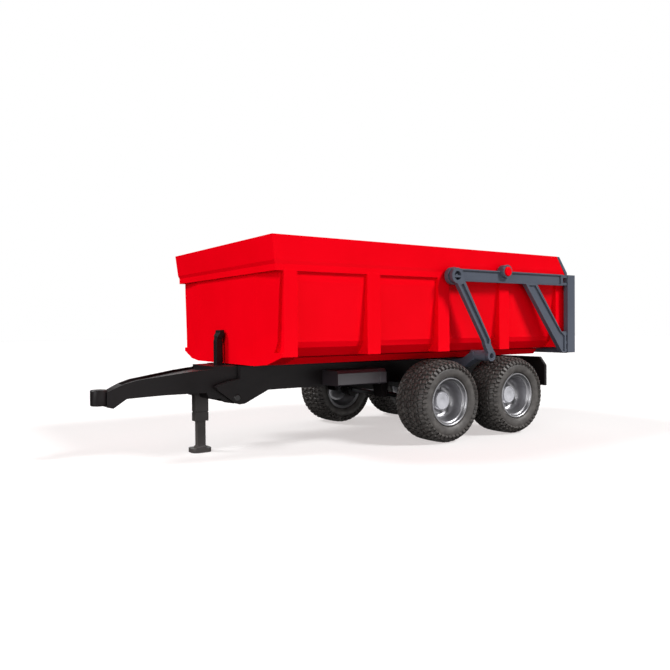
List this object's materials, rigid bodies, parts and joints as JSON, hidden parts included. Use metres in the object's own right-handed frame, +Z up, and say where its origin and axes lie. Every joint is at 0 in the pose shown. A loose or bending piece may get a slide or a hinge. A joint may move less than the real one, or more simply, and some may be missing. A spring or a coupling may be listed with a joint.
{
  "type": "tandem-axle tipping trailer model",
  "caption": "Tandem-axle tipping trailer with a ribbed open tub, a linkage that lifts the tailgate as the tub tips, a rocking bogie, a parking stand and a tow eye.",
  "frame": {"origin": "centre of the whole trailer's outline on the ground, bottom of its bounding box", "axes": "+X towards the tailgate along the trailer's length, +Y across towards its right side, +Z up from the ground"},
  "size_m": [0.407, 0.1892, 0.1544],
  "materials": {
    "tub_red": "moulded plastic, satin gloss",
    "chassis_black": "fine-grained moulded plastic",
    "stand_black": "fine-grained moulded plastic",
    "pin_black": "moulded plastic",
    "linkage_grey": "satin moulded plastic",
    "box_grey": "satin moulded plastic",
    "tyre_rubber": "matt soft tyre compound",
    "rim_silver": "silver pigmented plastic",
    "hub_cap_light": "light silver plastic",
    "axle_steel": "drawn steel rod"
  },
  "bodies": {
    "frame": {"chassis_frame": "chassis_black", "rear_bumper": "chassis_black", "drawbar": "chassis_black", "tow_eye": "chassis_black", "drawbar_pin": "pin_black", "latch_pin": "pin_black", "tip_hinge_pin": "axle_steel", "bogie_pivot_pin": "axle_steel", "stand_sleeve": "stand_black", "tool_box_left": "box_grey", "tool_box_right": "box_grey", "tool_box_cap_left": "box_grey", "tool_box_cap_right": "box_grey", "linkage_bracket_left": "linkage_grey", "linkage_bracket_right": "linkage_grey"},
    "tub": {"tub": "tub_red", "pivot_cap_left": "tub_red", "pivot_cap_right": "tub_red"},
    "tailgate": {"tailgate": "linkage_grey", "side_arm_left": "linkage_grey", "side_arm_right": "linkage_grey", "link_pin_left": "linkage_grey", "link_pin_right": "linkage_grey"},
    "control_rods": {"control_rod_left": "linkage_grey", "control_rod_right": "linkage_grey"},
    "bogie": {"bogie_beam_left": "chassis_black", "bogie_beam_right": "chassis_black", "axle_front": "axle_steel", "axle_rear": "axle_steel"},
    "stand_leg": {"stand_leg": "stand_black"},
    "tub_latch": {"tub_latch": "chassis_black"},
    "wheel_front_left": {"tyre_front_left": "tyre_rubber", "rim_front_left": "rim_silver", "hub_cap_front_left": "hub_cap_light"},
    "wheel_front_right": {"tyre_front_right": "tyre_rubber", "rim_front_right": "rim_silver", "hub_cap_front_right": "hub_cap_light"},
    "wheel_rear_left": {"tyre_rear_left": "tyre_rubber", "rim_rear_left": "rim_silver", "hub_cap_rear_left": "hub_cap_light"},
    "wheel_rear_right": {"tyre_rear_right": "tyre_rubber", "rim_rear_right": "rim_silver", "hub_cap_rear_right": "hub_cap_light"}
  },
  "joints": [
    {"name": "tub_tip", "type": "hinge", "parent": "frame", "child": "tub", "pos_m": [0.168, 0, 0.0595], "axis": [0, 1, 0], "range_deg": [0, 40]},
    {"name": "tailgate_swing", "type": "hinge", "parent": "tub", "child": "tailgate", "pos_m": [0.1105, 0, 0.1376], "axis": [0, 1, 0], "range_deg": [-52.3, 0]},
    {"name": "rod_swing", "type": "hinge", "parent": "frame", "child": "control_rods", "pos_m": [0.089, 0, 0.0681], "axis": [0, 1, 0], "range_deg": [0, 52.3]},
    {"name": "bogie_rock", "type": "hinge", "parent": "frame", "child": "bogie", "pos_m": [0.089, 0, 0.0415], "axis": [0, 1, 0], "range_deg": [-3, 3]},
    {"name": "stand_slide", "type": "slide", "parent": "frame", "child": "stand_leg", "axis": [0, 0, 1], "range_m": [0, 0.018]},
    {"name": "latch_release", "type": "hinge", "parent": "frame", "child": "tub_latch", "pos_m": [-0.1103, 0, 0.0603], "axis": [0, 1, 0], "range_deg": [-15, 0]},
    {"name": "wheel_spin_front_left", "type": "hinge", "parent": "bogie", "child": "wheel_front_left", "pos_m": [0.0497, -0.0724, 0.0328], "axis": [0, 1, 0], "continuous": true},
    {"name": "wheel_spin_front_right", "type": "hinge", "parent": "bogie", "child": "wheel_front_right", "pos_m": [0.0497, 0.0724, 0.0328], "axis": [0, 1, 0], "continuous": true},
    {"name": "wheel_spin_rear_left", "type": "hinge", "parent": "bogie", "child": "wheel_rear_left", "pos_m": [0.1283, -0.0724, 0.0328], "axis": [0, 1, 0], "continuous": true},
    {"name": "wheel_spin_rear_right", "type": "hinge", "parent": "bogie", "child": "wheel_rear_right", "pos_m": [0.1283, 0.0724, 0.0328], "axis": [0, 1, 0], "continuous": true}
  ],
  "couplings": [
    {"joint": "tailgate_swing", "follows": "tub_tip", "ratio": -1.306},
    {"joint": "rod_swing", "follows": "tub_tip", "ratio": 1.304}
  ]
}
